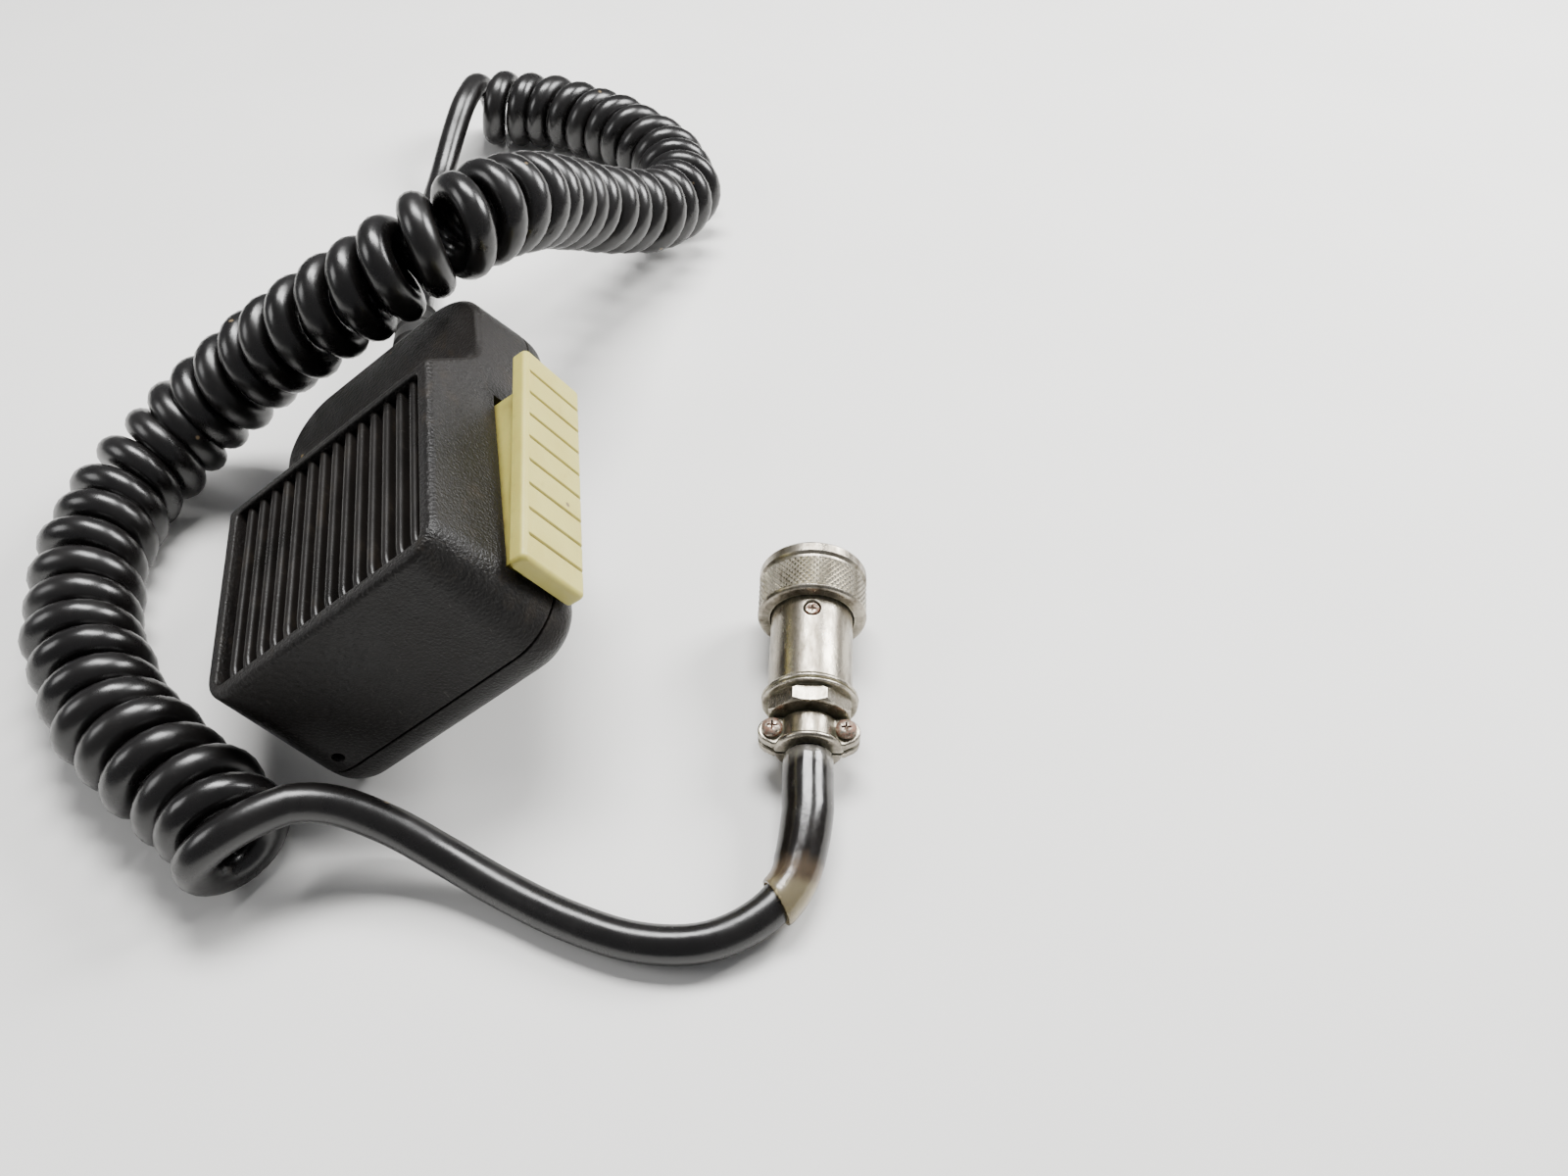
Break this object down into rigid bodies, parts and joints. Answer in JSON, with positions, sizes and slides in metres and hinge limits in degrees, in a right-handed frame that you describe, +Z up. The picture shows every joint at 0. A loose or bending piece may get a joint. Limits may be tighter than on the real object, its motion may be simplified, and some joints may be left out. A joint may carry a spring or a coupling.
{
  "type": "hand microphone",
  "caption": "Black hand microphone with a ribbed grille, a cream key bar on its side, a curly cord and a nickel-plated screw-on plug, lying rolled onto its hang-up stud.",
  "frame": {"origin": "bottom centre of the microphone without its cord, as it lies on its left edge and the rim of its hang-up stud", "axes": "+Y from the head end to the neck end, +X towards the key bar's side, +Z up"},
  "size_m": [0.144, 0.2629, 0.0582],
  "materials": {
    "shell_plastic": "fine moulded grain, worn",
    "key_plastic": "satin, yellowed",
    "nickel": "nickel plate, dulled",
    "steel": "zinc plate",
    "magnet": "ground",
    "copper": "enamelled",
    "film": "gloss",
    "cloth": "woven",
    "foam": "open cell",
    "rubber": "matt",
    "board": "phenolic laminate",
    "switch_plastic": "satin",
    "nylon": "satin",
    "white_wire": "gloss",
    "red_wire": "gloss",
    "screen_wire": "tinned strands",
    "cord": "glossy PVC jacket",
    "sleeve": "smoky, translucent",
    "insulator": "phenolic",
    "brass": "polished"
  },
  "bodies": {
    "microphone": {"front_shell": "shell_plastic", "back_shell": "shell_plastic", "case_screw_1": "steel", "case_screw_2": "steel", "case_screw_3": "steel", "case_screw_4": "steel", "hang_stud": "nickel", "stud_screw": "steel", "dust_cloth": "cloth", "cartridge_gasket": "rubber", "cartridge_cover": "steel", "diaphragm": "film", "voice_coil": "copper", "magnet": "magnet", "cartridge_cup": "steel", "cartridge_pad": "foam", "key_pin": "steel", "switch_board": "board", "switch_body": "switch_plastic", "board_screw": "steel", "lead_audio": "white_wire", "lead_key": "red_wire", "lead_ground": "screen_wire", "cord_clip": "steel", "clip_screw": "steel", "cord_boot": "rubber", "cord_tail_mic": "cord", "cord_coil": "cord", "cord_tail_plug": "cord", "cord_sleeve": "sleeve", "plug_barrel": "nickel", "plug_insert": "insulator", "contact_1": "brass", "contact_2": "brass", "contact_3": "brass", "contact_4": "brass", "plug_set_screw": "steel", "clamp_collar": "nickel", "clamp_saddle": "nickel", "clamp_screw_1": "steel", "clamp_screw_2": "steel"},
    "key": {"key_bar": "key_plastic", "key_spring": "steel"},
    "plunger": {"switch_plunger": "nylon"},
    "ring": {"coupling_ring": "nickel"}
  },
  "joints": [
    {"name": "key_press", "type": "hinge", "parent": "microphone", "child": "key", "pos_m": [0.01652, -0.03075, 0.03368], "axis": [-0.5737, 0, 0.8191], "range_deg": [0, 5.5], "stiffness_Nm_per_rad": 0.3, "springref_deg": -5.73},
    {"name": "plunger_slide", "type": "slide", "parent": "microphone", "child": "plunger", "axis": [-0.8191, 0, -0.5737], "range_m": [0, 0.0024]},
    {"name": "ring_turn", "type": "hinge", "parent": "microphone", "child": "ring", "pos_m": [0.06528, -0.02099, 0.00979], "axis": [0.2343, 0.9684, 0.0854], "continuous": true}
  ],
  "couplings": [
    {"joint": "plunger_slide", "follows": "key_press", "m_per_rad": 0.024}
  ]
}
